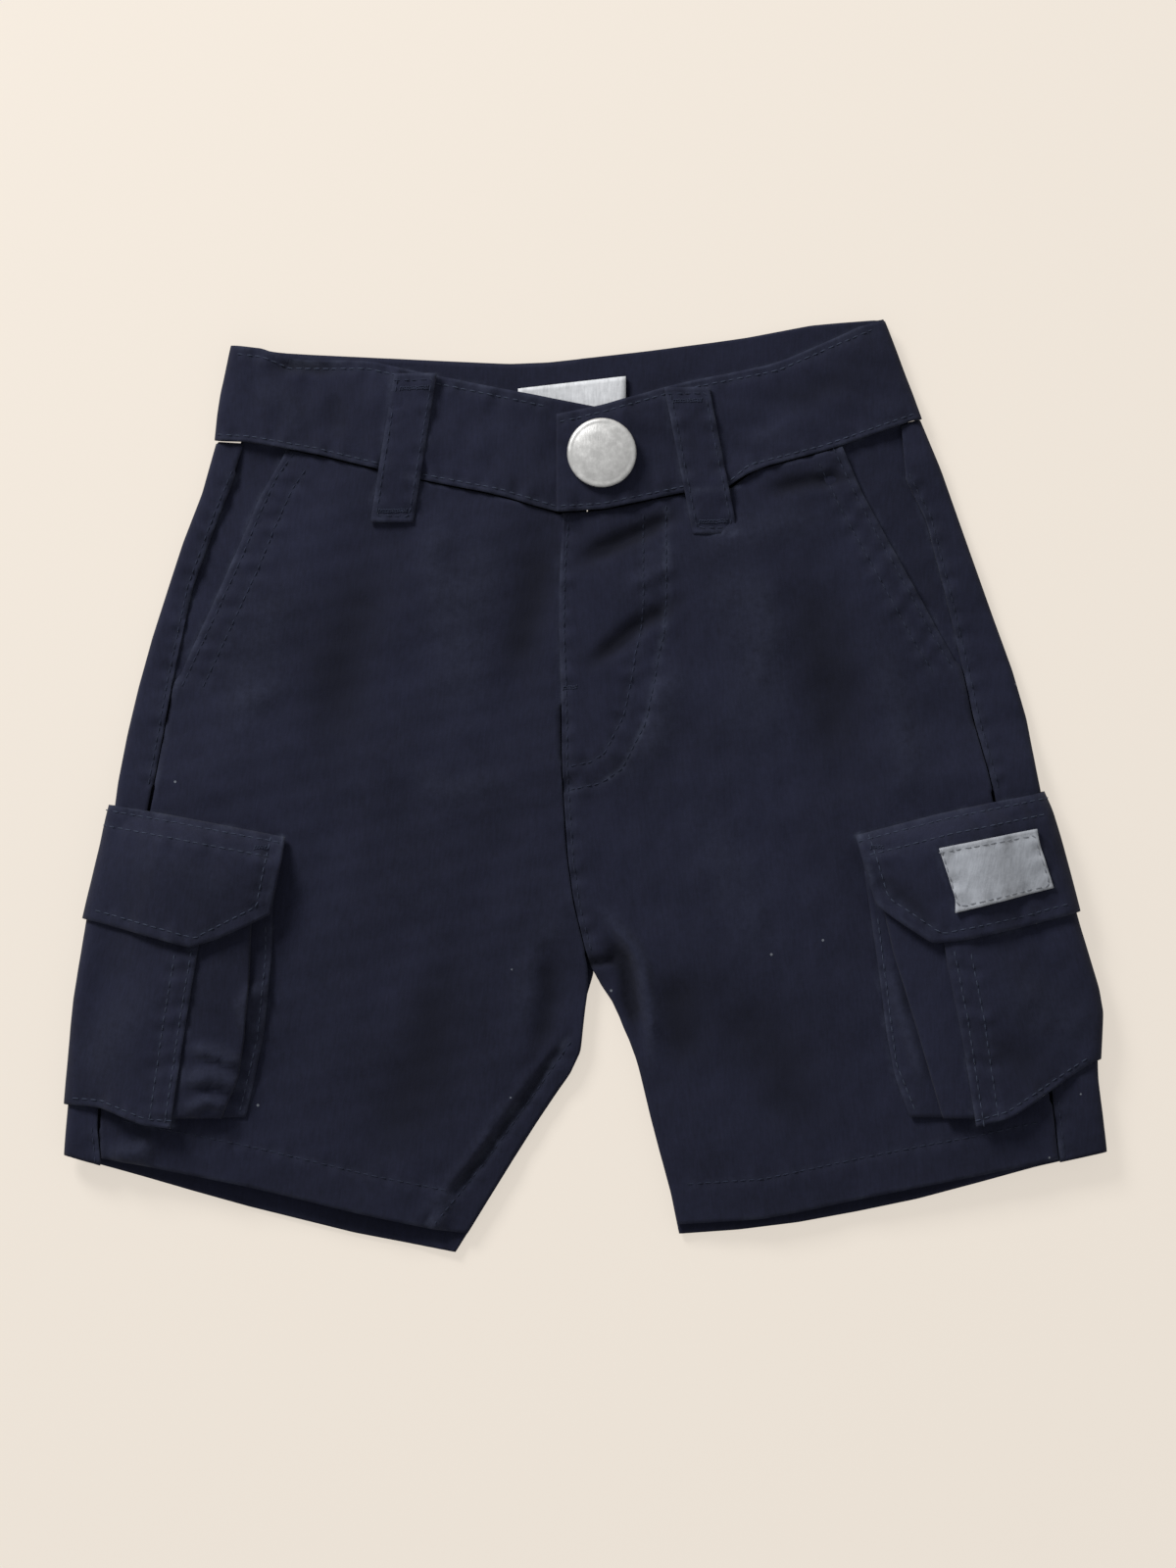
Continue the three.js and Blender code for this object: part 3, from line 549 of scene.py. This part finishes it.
def shape_cloth(made, node, settings):
    """Lays the creases and the puckers along the seams, marks where cloth is worn, and marks the
    painted shade in crease troughs and the painted highlight on crease ridges.
    """
    count = len(made.data.vertices)
    points = np.empty(count * 3)
    made.data.vertices.foreach_get("co", points)
    points = points.reshape(-1, 3)
    places = points[:, :2] / MM - (SHIFT_X, SHIFT_Y)
    x, y = places[:, 0], places[:, 1]
    face = upper_face(node, points[:, 2] / MM)
    rise = creased(node, places)
    # Painted shade in the crease troughs, which the material reads as a darker colour.
    painted_trough_shade = np.clip(-rise, 0, SHADE_REACH) * TROUGH_SHADE
    # Painted highlight: crease ridges turn paler. The real wear along stitch rows and edges is
    # added below.
    wear_and_ridge_highlight = np.clip(rise, 0, SHADE_REACH) * RIDGE_HIGHLIGHT
    pucker = settings.pucker / MM
    for line in lines_on(node):
        far, along = from_line(places, line)
        length = np.linalg.norm(np.diff(line, axis=0), axis=1).sum()
        beat = np.sin(along * length * 1.15) + np.sin(along * length * 0.71 + 1.3)
        rise += pucker * PUCKER_SHARE * beat * np.exp(-(far / PUCKER_WIDE) ** 2)
        rise -= pucker * SUNK_SHARE * np.exp(-(far / SUNK_WIDE) ** 2)
        wear_and_ridge_highlight += np.exp(-(far / ROW_WEAR_WIDE) ** 2) * ROW_WEAR
    ripple = settings.ripple / MM * (BAND_RIPPLE if "band" in node else 1.0)
    rise += ripple * waves(x, y, RIPPLE_PITCH, len(node))
    rise += ripple * FINE_RIPPLE * waves(x, y, FINE_RIPPLE_PITCH, len(node) + 3)
    if node in ("waistband_back", "neck_label"):
        rise *= SHELTERED
    rise = np.clip(rise, LOWEST, HIGHEST) * face
    if "gusset" in node:
        rise = np.maximum(rise, GUSSET_LOWEST)
    points[:, 2] += rise * MM
    points[:, :2] += closed_up(places, node) * MM
    for line in LINES.values():
        far, _ = from_line(places, line)
        wear_and_ridge_highlight += np.exp(-(far / EDGE_WEAR_WIDE) ** 2) * EDGE_WEAR * face * edge_wear(places)
    made.data.vertices.foreach_set("co", points.ravel())
    mark(made, "wear_and_ridge_highlight", wear_and_ridge_highlight)
    mark(made, "painted_trough_shade", painted_trough_shade)
    made.data.shade_smooth()
    made.data.update()


def own(made, material, node=None):
    """Dresses a finished piece, hangs it on what it rides on, and hides the CAD part that it stands
    for.
    """
    made.data.materials.clear()
    made.data.materials.append(material)
    if made.name not in bpy.context.scene.collection.all_objects:
        bpy.context.scene.collection.objects.link(made)
    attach(made, "root")
    if node:
        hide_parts(node)


# The finished cloth pieces, which the stitches are laid on.
MADE = {}


def sew_cloth(node, material, settings):
    """Makes one cloth piece over its CAD wall."""
    made = fine_copy(node)
    shape_cloth(made, node, settings)
    own(made, material, node)
    MADE[node] = made


def sew_twill(settings, *nodes):
    """Makes navy pieces, each with the grain of its own cut."""
    for node in nodes:
        material = cloth_material(
            "navy_twill_" + node, tuple(settings.navy), tuple(settings.worn_and_highlit_thread),
            settings.weave / MM, GRAIN.get(node, 0), speck=0.02)
        sew_cloth(node, material, settings)


# ---- stitches ----
def stitch_tree():
    """Geometry nodes: a short raised thread at each step along the sewing lines."""
    tree = bpy.data.node_groups.new("stitch_rows", "GeometryNodeTree")
    face = tree.interface
    face.new_socket("Lines", in_out="INPUT", socket_type="NodeSocketGeometry")
    for name in ("Pitch", "Thread", "Length"):
        face.new_socket(name, in_out="INPUT", socket_type="NodeSocketFloat")
    face.new_socket("Material", in_out="INPUT", socket_type="NodeSocketMaterial")
    face.new_socket("Stitches", in_out="OUTPUT", socket_type="NodeSocketGeometry")
    make, link = tree.nodes.new, tree.links.new
    given, result = make("NodeGroupInput"), make("NodeGroupOutput")
    steps = make("GeometryNodeResampleCurve")
    steps.mode = "LENGTH"
    points = make("GeometryNodeCurveToPoints")
    points.mode = "EVALUATED"
    thread = make("GeometryNodeMeshUVSphere")
    thread.inputs["Segments"].default_value = THREAD_SEGMENTS
    thread.inputs["Rings"].default_value = THREAD_RINGS
    thread.inputs["Radius"].default_value = 0.5
    size = make("ShaderNodeCombineXYZ")
    place = make("GeometryNodeInstanceOnPoints")
    real, dress = make("GeometryNodeRealizeInstances"), make("GeometryNodeSetMaterial")
    link(given.outputs["Lines"], steps.inputs["Curve"])
    link(given.outputs["Pitch"], steps.inputs["Length"])
    link(steps.outputs["Curve"], points.inputs["Curve"])
    link(points.outputs["Points"], place.inputs["Points"])
    link(points.outputs["Rotation"], place.inputs["Rotation"])
    link(thread.outputs["Mesh"], place.inputs["Instance"])
    link(given.outputs["Thread"], size.inputs["X"])
    link(given.outputs["Thread"], size.inputs["Y"])
    link(given.outputs["Length"], size.inputs["Z"])
    link(size.outputs["Vector"], place.inputs["Scale"])
    link(place.outputs["Instances"], real.inputs["Geometry"])
    link(real.outputs["Geometry"], dress.inputs["Geometry"])
    link(given.outputs["Material"], dress.inputs["Material"])
    link(dress.outputs["Geometry"], result.inputs["Stitches"])
    return tree


def laid_on(node, line, step=LAID_STEP):
    """A line drawn on the top of a finished piece."""
    made = MADE[node]
    tree = BVHTree.FromObject(made, bpy.context.evaluated_depsgraph_get())
    line = np.array(line, float)
    lengths = np.linalg.norm(np.diff(line, axis=0), axis=1)
    at = np.concatenate([[0.0], np.cumsum(lengths)])
    laid = []
    for far in np.arange(0, at[-1], step):
        x, y = spot(np.interp(far, at, line[:, 0]), np.interp(far, at, line[:, 1]))
        hit, normal, _, _ = tree.ray_cast(Vector((x, y, ABOVE_ALL)), Vector((0, 0, -1)))
        if hit and normal.z > 0.3:
            laid.append(hit + normal * LIFT_OFF)
    return laid


def sewing_curve(name, drawn):
    """One curve object that holds a group of sewing lines."""
    curve = bpy.data.curves.new(name, "CURVE")
    curve.dimensions = "3D"
    for points in drawn:
        if len(points) > 2:
            spline = curve.splines.new("POLY")
            spline.points.add(len(points) - 1)
            for at, point in zip(spline.points, points):
                at.co = (*point, 1.0)
    made = bpy.data.objects.new(name, curve)
    bpy.context.scene.collection.objects.link(made)
    return made


def stitch_along(name, drawn, pitch, length, thread, material, tree):
    """Sews stitches along a group of lines and keeps them as a plain mesh."""
    lines = sewing_curve(name + "_lines", drawn)
    rows = lines.modifiers.new("stitches", "NODES")
    rows.node_group = tree
    values = {"Pitch": pitch, "Thread": thread, "Length": length, "Material": material}
    for item in tree.interface.items_tree:
        if item.in_out == "INPUT" and item.name in values:
            rows[item.identifier] = values[item.name]
    view = bpy.context.evaluated_depsgraph_get()
    mesh = bpy.data.meshes.new_from_object(lines.evaluated_get(view))
    bpy.data.objects.remove(lines)
    made = bpy.data.objects.new(name, mesh)
    bpy.context.scene.collection.objects.link(made)
    mesh.shade_smooth()
    own(made, material)


# ---- settings ----
class ShortsSettings(bpy.types.PropertyGroup):
    navy: bpy.props.FloatVectorProperty(
        name="Navy", description="Colour of the dyed twill", subtype="COLOR",
        default=(0.0102, 0.0116, 0.0258), min=0, max=1)
    # Also the colour of the painted highlight on crease ridges.
    worn_and_highlit_thread: bpy.props.FloatVectorProperty(
        name="Worn thread", description="Colour of the twill where it is rubbed", subtype="COLOR",
        default=(0.048, 0.056, 0.088), min=0, max=1)
    grey: bpy.props.FloatVectorProperty(
        name="Patch grey", description="Colour of the woven patch", subtype="COLOR",
        default=(0.29, 0.305, 0.335), min=0, max=1)
    white: bpy.props.FloatVectorProperty(
        name="Label white", description="Colour of the neck label", subtype="COLOR",
        default=(0.6, 0.61, 0.63), min=0, max=1)
    silver: bpy.props.FloatVectorProperty(
        name="Button silver", description="Colour of the tack button", subtype="COLOR",
        default=(0.8, 0.795, 0.78), min=0, max=1)
    weave: bpy.props.FloatProperty(
        name="Weave", description="Pitch of the twill's ribs", unit="LENGTH", default=0.00055)
    pucker: bpy.props.FloatProperty(
        name="Pucker", description="Height of the puckers along a seam", unit="LENGTH",
        default=0.00045)
    ripple: bpy.props.FloatProperty(
        name="Ripple", description="Height of the soft ripples of washed cloth", unit="LENGTH",
        default=0.00055)
    stitch: bpy.props.FloatProperty(
        name="Stitch", description="Length of one stitch", unit="LENGTH", default=0.0025)
    thread: bpy.props.FloatProperty(
        name="Thread", description="Thickness of the sewing thread", unit="LENGTH",
        default=0.00042)


class StageSettings(bpy.types.PropertyGroup):
    cream: bpy.props.FloatVectorProperty(
        name="Floor cream", description="Colour of the floor", subtype="COLOR",
        default=(0.877, 0.799, 0.708), min=0, max=1)
    soft_light: bpy.props.FloatProperty(
        name="Soft light", description="Strength of the light from all round", default=0.42)
    key_light: bpy.props.FloatProperty(
        name="Key light", description="Power of the large lamp", unit="POWER", default=27.0)
    height: bpy.props.FloatProperty(
        name="Camera height", description="Camera above the floor", unit="LENGTH", default=1.24)
    field: bpy.props.FloatProperty(
        name="Field", description="Long side of the view at the floor", unit="LENGTH",
        default=0.448)


def make_patch(settings):
    material = cloth_material("grey_woven_patch", tuple(settings.grey), (0.45, 0.46, 0.48),
                              0.7, 12, ribs=0.5)
    sew_cloth("flap_patch", material, settings)


def make_label(settings):
    material = cloth_material("white_woven_label", tuple(settings.white), (0.7, 0.7, 0.72),
                              0.6, 0, ribs=0.4)
    sew_cloth("neck_label", material, settings)


def make_button(settings):
    low, high = (Vector(corner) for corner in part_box("button"))
    centre = (low + high) / 2
    radius, height = (high.x - low.x) / 2, high.z - low.z
    bm = bmesh.new()
    rings = []
    for part, rise in BUTTON_PROFILE:
        z = low.z + rise * height
        if part == 0.0:
            rings.append([bm.verts.new((centre.x, centre.y, z))])
            continue
        rings.append([bm.verts.new((
            centre.x + radius * part * math.cos(2 * math.pi * k / BUTTON_SEGMENTS),
            centre.y + radius * part * math.sin(2 * math.pi * k / BUTTON_SEGMENTS), z))
            for k in range(BUTTON_SEGMENTS)])
    for inner, outer in zip(rings[:-1], rings[1:]):
        for k in range(BUTTON_SEGMENTS):
            n = (k + 1) % BUTTON_SEGMENTS
            corners = [inner[k % len(inner)], inner[n % len(inner)],
                       outer[n % len(outer)], outer[k % len(outer)]]
            bm.faces.new(list(dict.fromkeys(corners)))
    bmesh.ops.recalc_face_normals(bm, faces=bm.faces)
    mesh = bpy.data.meshes.new("tack_button")
    bm.to_mesh(mesh)
    bm.free()
    mesh.shade_smooth()
    made = bpy.data.objects.new("tack_button", mesh)
    own(made, metal_material("satin_nickel", tuple(settings.silver)), "button")


def stitches_for(node):
    """Which group of stitches a piece is sewn with."""
    if node == "flap_patch":
        return "patch_stitches"
    return "pocket_stitches" if "cargo" in node or "band" in node else "seam_stitches"


def make_stitches(settings):
    tree = stitch_tree()
    thread = cloth_material("navy_thread", (0.017, 0.021, 0.04), (0.05, 0.06, 0.09), 0.4, 0)
    pale = cloth_material("faded_thread", (0.03, 0.037, 0.062), (0.07, 0.08, 0.12), 0.4, 0)
    grey = cloth_material("grey_thread", (0.2, 0.21, 0.235), (0.3, 0.3, 0.32), 0.4, 0)
    groups = {"seam_stitches": ([], thread), "pocket_stitches": ([], pale),
              "patch_stitches": ([], grey)}
    for name, distance, node in ROWS:
        groups[stitches_for(node)][0].append(laid_on(node, moved_in(LINES[name], distance)))
    for name, (drawn, material) in groups.items():
        stitch_along(name, drawn, settings.stitch, settings.stitch * STITCH_FILL,
                     settings.thread, material, tree)
    tacks = []
    for (x, y), long, node in BAR_TACKS:
        zigzag = [(x - long / 2 + TACK_ADVANCE * k,
                   y + (TACK_HALF_WIDTH if k % 2 else -TACK_HALF_WIDTH))
                  for k in range(int(long / TACK_ADVANCE))]
        tacks.append(laid_on(node, zigzag, TACK_STEP))
    stitch_along("bar_tacks", tacks, TACK_PITCH, TACK_STITCH, settings.thread, thread, tree)


def make_stage(scene):
    stage = scene.shorts_stage
    floor_level = CAD_BOX[0][2] - FLOOR_DROP
    bpy.ops.mesh.primitive_plane_add(size=FLOOR_SIZE, location=(0, 0, floor_level))
    floor = bpy.context.object
    floor.name = "floor"
    material, shader, place = start_material("cream_floor")
    shader.inputs["Base Color"].default_value = (*stage.cream, 1.0)
    shader.inputs["Roughness"].default_value = 0.95
    shader.inputs["Specular IOR Level"].default_value = 0.0
    # The lens sees an even floor, and the shorts still shade it.
    tree = material.node_tree
    seen = place.node("ShaderNodeLightPath")
    glow = place.node("ShaderNodeEmission", Color=(*stage.cream, 1.0), Strength=1.0)
    both = place.node("ShaderNodeMixShader", Fac=seen * FLOOR_GLOW)
    mixer = both.socket.node
    tree.links.new(shader.outputs["BSDF"], mixer.inputs[1])
    tree.links.new(glow.socket, mixer.inputs[2])
    tree.links.new(both.socket, tree.nodes["Material Output"].inputs["Surface"])
    floor.data.materials.append(material)
    world = bpy.data.worlds.new("studio")
    world.use_nodes = True
    background = world.node_tree.nodes["Background"]
    background.inputs["Color"].default_value = WHITE
    background.inputs["Strength"].default_value = stage.soft_light
    scene.world = world
    lamp = bpy.data.lights.new("softbox", "AREA")
    lamp.shape, lamp.size = "SQUARE", SOFTBOX_SIZE
    lamp.energy = stage.key_light
    holder = bpy.data.objects.new("softbox", lamp)
    holder.location = SOFTBOX_PLACE
    holder.rotation_euler = (-holder.location).to_track_quat("-Z", "Y").to_euler()
    scene.collection.objects.link(holder)
    lens = bpy.data.cameras.new("overhead")
    lens.lens = LENS_SENSOR * stage.height / stage.field
    lens.clip_start, lens.clip_end = 0.01, 20
    camera = bpy.data.objects.new("overhead", lens)
    camera.location = (*LENS_CENTRE, stage.height)
    scene.collection.objects.link(camera)
    scene.camera = camera
    scene.view_settings.view_transform = "Standard"


# ---- operators ----
class SHORTS_OT_fronts(bpy.types.Operator):
    """Makes the two front panels"""
    bl_idname = "shorts.fronts"
    bl_label = "Fronts"

    def execute(self, context):
        sew_twill(context.scene.shorts, "front_right", "front_left")
        return {"FINISHED"}


class SHORTS_OT_backs(bpy.types.Operator):
    """Makes the two back panels"""
    bl_idname = "shorts.backs"
    bl_label = "Backs"

    def execute(self, context):
        sew_twill(context.scene.shorts, "back_right", "back_left")
        return {"FINISHED"}


class SHORTS_OT_waistband(bpy.types.Operator):
    """Makes the three pieces of the waistband"""
    bl_idname = "shorts.waistband"
    bl_label = "Waistband"

    def execute(self, context):
        sew_twill(context.scene.shorts,
                  "waistband_front_right", "waistband_front_left",
                  "waistband_back")
        return {"FINISHED"}


class SHORTS_OT_facings(bpy.types.Operator):
    """Makes the facings behind the pocket openings"""
    bl_idname = "shorts.facings"
    bl_label = "Hip facings"

    def execute(self, context):
        sew_twill(context.scene.shorts, "hip_facing_right", "hip_facing_left")
        return {"FINISHED"}


class SHORTS_OT_loops(bpy.types.Operator):
    """Makes the two belt loops"""
    bl_idname = "shorts.loops"
    bl_label = "Belt loops"

    def execute(self, context):
        sew_twill(context.scene.shorts, "belt_loop_right", "belt_loop_left")
        return {"FINISHED"}


class SHORTS_OT_pockets(bpy.types.Operator):
    """Makes the pocket panels and gussets"""
    bl_idname = "shorts.pockets"
    bl_label = "Cargo pockets"

    def execute(self, context):
        sew_twill(context.scene.shorts,
                  "cargo_pocket_right", "cargo_pocket_left",
                  "cargo_gusset_right", "cargo_gusset_left")
        return {"FINISHED"}


class SHORTS_OT_flaps(bpy.types.Operator):
    """Makes the two pointed flaps"""
    bl_idname = "shorts.flaps"
    bl_label = "Pocket flaps"

    def execute(self, context):
        sew_twill(context.scene.shorts, "cargo_flap_right", "cargo_flap_left")
        return {"FINISHED"}


class SHORTS_OT_patch(bpy.types.Operator):
    """Makes the woven patch on the left flap"""
    bl_idname = "shorts.patch"
    bl_label = "Patch"

    def execute(self, context):
        make_patch(context.scene.shorts)
        return {"FINISHED"}


class SHORTS_OT_label(bpy.types.Operator):
    """Makes the label inside the waistband"""
    bl_idname = "shorts.label"
    bl_label = "Neck label"

    def execute(self, context):
        make_label(context.scene.shorts)
        return {"FINISHED"}


class SHORTS_OT_button(bpy.types.Operator):
    """Makes the metal button"""
    bl_idname = "shorts.button"
    bl_label = "Tack button"

    def execute(self, context):
        make_button(context.scene.shorts)
        return {"FINISHED"}


class SHORTS_OT_stitches(bpy.types.Operator):
    """Sews the rows of stitches and the bar tacks"""
    bl_idname = "shorts.stitches"
    bl_label = "Stitching"

    def execute(self, context):
        make_stitches(context.scene.shorts)
        return {"FINISHED"}


class SHORTS_OT_stage(bpy.types.Operator):
    """Makes the floor, the light and the camera"""
    bl_idname = "shorts.stage"
    bl_label = "Stage"

    def execute(self, context):
        make_stage(context.scene)
        return {"FINISHED"}


OPERATORS = [
    SHORTS_OT_fronts, SHORTS_OT_backs, SHORTS_OT_waistband, SHORTS_OT_facings,
    SHORTS_OT_loops, SHORTS_OT_pockets, SHORTS_OT_flaps, SHORTS_OT_patch, SHORTS_OT_label,
    SHORTS_OT_button, SHORTS_OT_stitches, SHORTS_OT_stage,
]


class SHORTS_PT_panel(bpy.types.Panel):
    """The sizes, the colours and a button for each group of pieces."""
    bl_idname = "SHORTS_PT_panel"
    bl_label = "Baby cargo shorts"
    bl_space_type = "VIEW_3D"
    bl_region_type = "UI"
    bl_category = "Shorts"

    def draw(self, context):
        for group in (context.scene.shorts, context.scene.shorts_stage):
            for name in group.__annotations__:
                self.layout.prop(group, name)
        for operator in OPERATORS:
            self.layout.operator(operator.bl_idname)


CLASSES = [ShortsSettings, StageSettings, *OPERATORS, SHORTS_PT_panel]


def register():
    for cls in CLASSES:
        bpy.utils.register_class(cls)
    bpy.types.Scene.shorts = bpy.props.PointerProperty(type=ShortsSettings)
    bpy.types.Scene.shorts_stage = bpy.props.PointerProperty(type=StageSettings)


def unregister():
    del bpy.types.Scene.shorts_stage
    del bpy.types.Scene.shorts
    for cls in reversed(CLASSES):
        bpy.utils.unregister_class(cls)


def main():
    register()
    for operator in OPERATORS:
        getattr(bpy.ops.shorts, operator.bl_idname.split(".")[1])()


if __name__ == "__main__":
    main()
